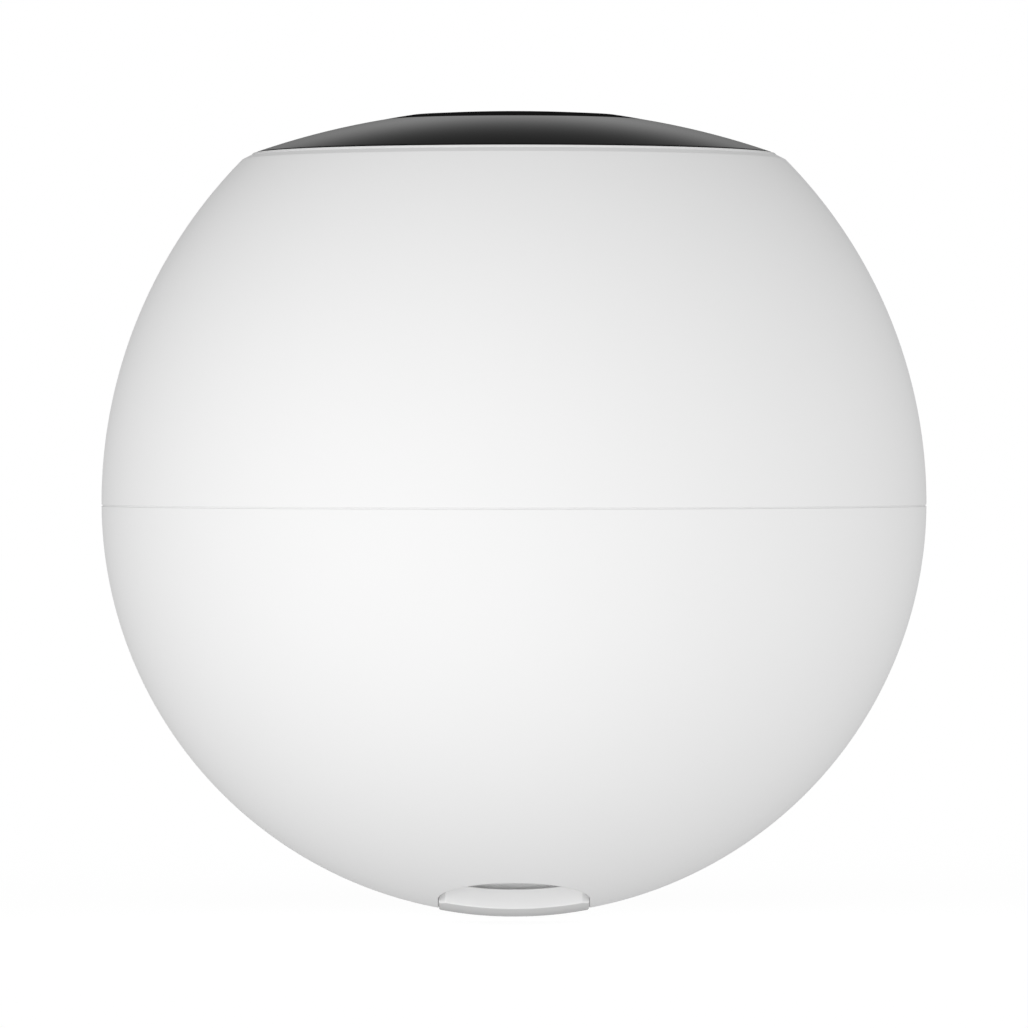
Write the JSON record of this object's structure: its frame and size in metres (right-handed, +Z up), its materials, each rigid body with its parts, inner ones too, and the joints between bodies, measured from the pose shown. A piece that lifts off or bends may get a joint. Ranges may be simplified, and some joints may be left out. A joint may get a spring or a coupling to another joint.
{
  "type": "smart speaker",
  "caption": "Ball-shaped smart speaker: two glossy shells, shallow dark dome with a central press button, sound slot round the dome, cable mouth and foot underneath.",
  "frame": {"origin": "middle of the foot pad's flat resting face, at the lowest point of the ball", "axes": "+Z up through the ball's axis and the button; -Y towards the side with the cable mouth; +X to the right of that side"},
  "size_m": [0.1, 0.1, 0.0975],
  "materials": {
    "shell": "satin-gloss white",
    "seam": "light grey",
    "trim": "gloss white",
    "mesh": "black acoustic cloth",
    "dome": "charcoal satin",
    "bezel": "gloss black",
    "button": "charcoal satin",
    "dark_insert": "black",
    "spring": "bright wire",
    "chassis": "dark grey",
    "fastener": "zinc plated",
    "circuit_board": "green solder mask",
    "plated_can": "nickel plated",
    "led": "clear amber",
    "diffuser": "frosted",
    "gasket": "black",
    "basket": "black",
    "motor_steel": "zinc plated",
    "magnet": "dark ferrite",
    "coil": "copper wire",
    "cone": "black pulp",
    "spider": "impregnated cloth",
    "heat_sink": "plain",
    "capacitor": "sleeved",
    "connector": "ivory",
    "antenna": "gold plated",
    "ribbon": "white film",
    "lead": "insulated wire",
    "well": "white, unpolished",
    "ballast": "cast",
    "cover": "satin-gloss white",
    "foot": "white silicone"
  },
  "bodies": {
    "housing": {"lower_shell": "shell", "upper_shell": "shell", "seam_ring": "seam", "trim_ring": "trim", "outlet_mesh": "mesh", "top_dome": "dome", "button_bezel": "bezel", "tact_switch": "dark_insert", "button_spring": "spring", "top_frame": "chassis", "dome_screws": "fastener", "control_board": "circuit_board", "control_screws": "fastener", "microphones": "plated_can", "status_leds": "led", "light_guide": "diffuser", "baffle": "chassis", "baffle_screws": "fastener", "frame_screws": "fastener", "driver_gasket": "gasket", "driver_basket": "basket", "driver_screws": "fastener", "driver_top_plate": "motor_steel", "driver_magnet": "magnet", "driver_yoke": "motor_steel", "driver_surround": "gasket", "driver_spider": "spider", "main_board": "circuit_board", "board_screws": "fastener", "shield_can": "plated_can", "heat_sink": "heat_sink", "capacitors": "capacitor", "chips": "dark_insert", "board_connectors": "connector", "wifi_antenna": "antenna", "ribbon_cable": "ribbon", "speaker_leads": "lead", "cable_well": "well", "power_jack": "plated_can", "jack_contacts": "dark_insert", "jack_board": "circuit_board", "jack_screws": "fastener", "power_leads": "lead", "ballast": "ballast", "ballast_screws": "fastener", "base_cover": "cover", "foot_pad": "foot", "cover_screw": "fastener"},
    "button": {"touch_button": "button", "switch_plunger": "dark_insert"},
    "diaphragm": {"cone": "cone", "dust_cap": "cone", "voice_coil": "coil"}
  },
  "joints": [
    {"name": "button_press", "type": "slide", "parent": "housing", "child": "button", "axis": [0, 0, -1], "range_m": [0, 0.0005], "stiffness_N_per_m": 700, "springref_m": -0.0005, "deforming": ["button_spring"]},
    {"name": "cone_stroke", "type": "slide", "parent": "housing", "child": "diaphragm", "axis": [0, 0, 1], "range_m": [-0.0012, 0.0012], "stiffness_N_per_m": 1200, "deforming": ["driver_surround", "driver_spider"]}
  ]
}
